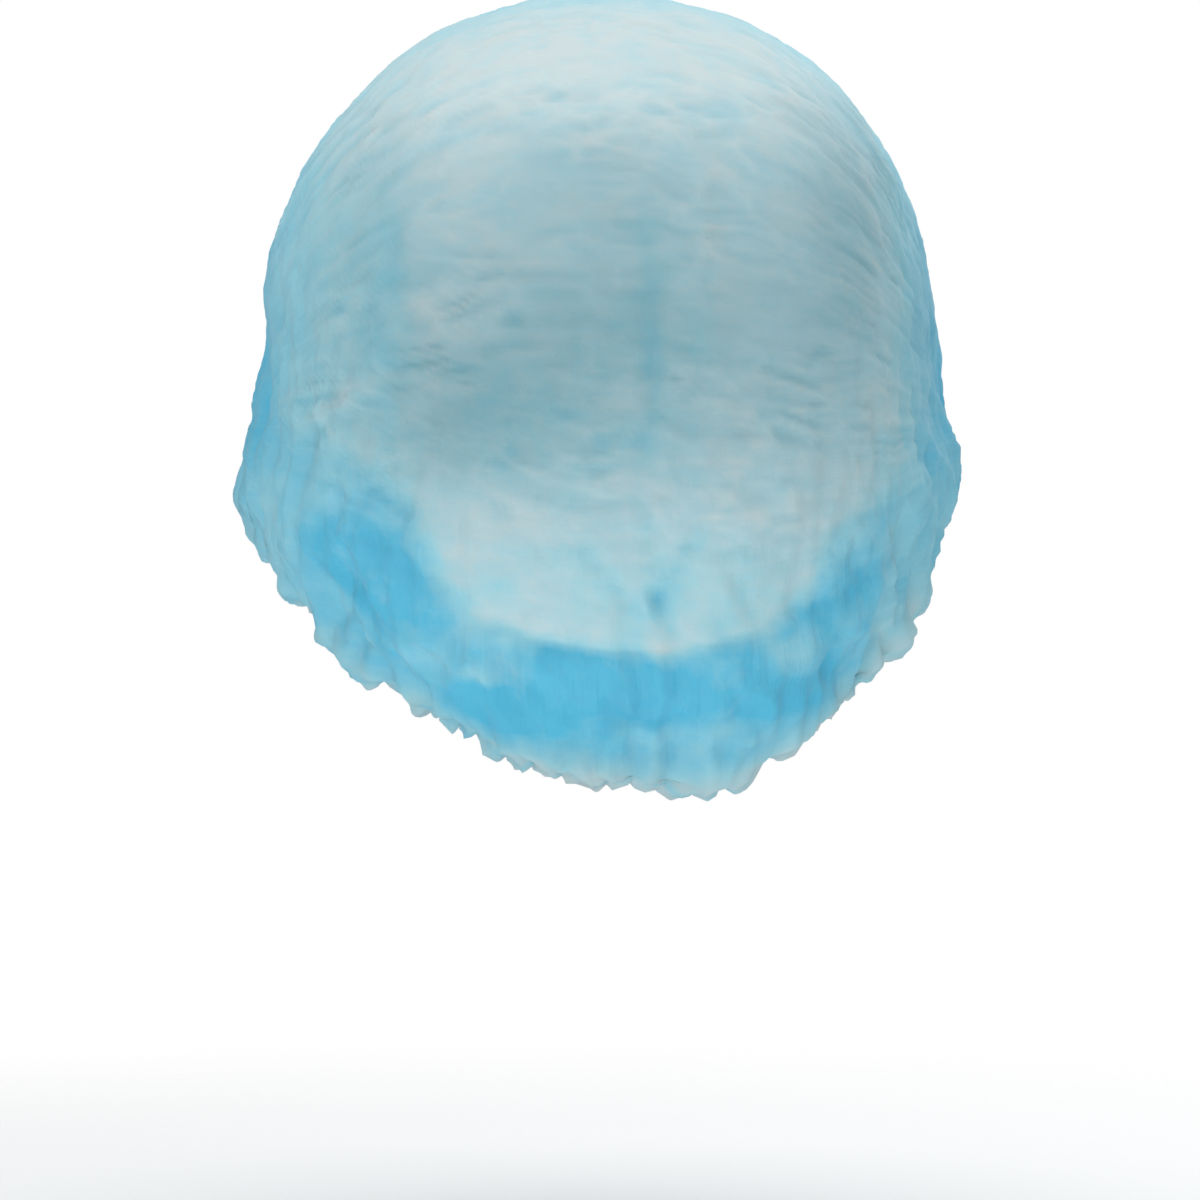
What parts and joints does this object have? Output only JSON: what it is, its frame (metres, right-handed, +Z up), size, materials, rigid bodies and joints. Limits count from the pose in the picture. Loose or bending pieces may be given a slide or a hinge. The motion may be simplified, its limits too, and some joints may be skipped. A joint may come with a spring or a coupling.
{
  "type": "disposable hairnet",
  "caption": "Thin blue non-woven cap, gathered on a hidden elastic band, shaped as worn low on the nape, over the ears and across the brow.",
  "frame": {"origin": "top of the wearer's head, where it touches the inside of the crown", "axes": "+X towards the wearer's right ear, +Y towards the brow, +Z up through the crown"},
  "size_m": [0.1802, 0.1954, 0.1976],
  "materials": {
    "nonwoven": "matt, translucent spunbond polypropylene",
    "elastic": "matt, ribbed elastic"
  },
  "bodies": {
    "root": {"cap_cloth": "nonwoven", "elastic_band": "elastic"}
  },
  "joints": []
}
